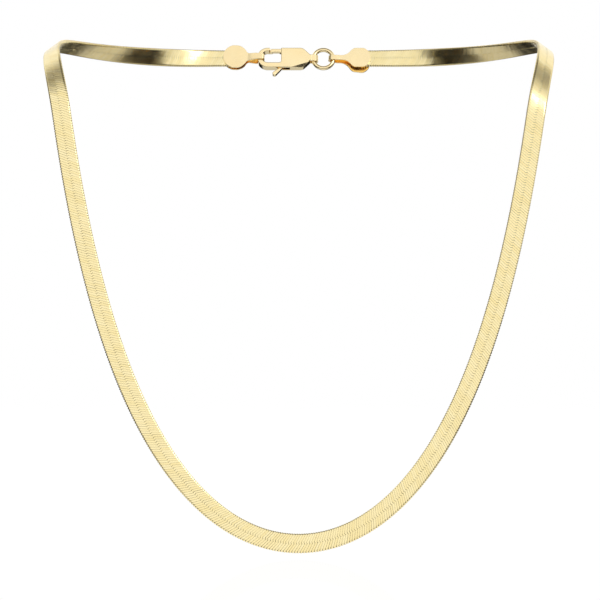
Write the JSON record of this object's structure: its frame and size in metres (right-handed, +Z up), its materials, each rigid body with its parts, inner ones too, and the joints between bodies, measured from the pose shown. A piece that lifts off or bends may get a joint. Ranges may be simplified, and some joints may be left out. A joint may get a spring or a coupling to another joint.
{
  "type": "herringbone necklace chain with lobster clasp",
  "caption": "Flat herringbone chain worn round the neck, closed at the nape by a lobster claw with a hinged lever, a jump ring and folded end caps.",
  "frame": {"origin": "middle of the neck opening, level with the nape", "axes": "+Z up, +X to the viewer's right when the front drop is looked at, +Y backwards to the nape"},
  "size_m": [0.1122, 0.0828, 0.1137],
  "materials": {
    "chain_gold": "pale yellow gold, flattened links polished to a silky shine",
    "cap_gold": "pale yellow gold sheet, polished",
    "clasp_gold": "pale yellow gold, mirror polished"
  },
  "bodies": {
    "necklace": {"chain": "chain_gold", "end_cap_claw": "cap_gold", "end_cap_ring": "cap_gold", "claw_body": "clasp_gold", "pivot_pin": "clasp_gold", "jump_ring": "clasp_gold"},
    "lever": {"claw_lever": "clasp_gold"}
  },
  "joints": [
    {"name": "lever_hinge", "type": "hinge", "parent": "necklace", "child": "lever", "pos_m": [-0.0032, 0.04053, 0.00116], "axis": [0, -0.9397, 0.342], "range_deg": [0, 22], "stiffness_Nm_per_rad": 0.005, "springref_deg": -17.19}
  ]
}
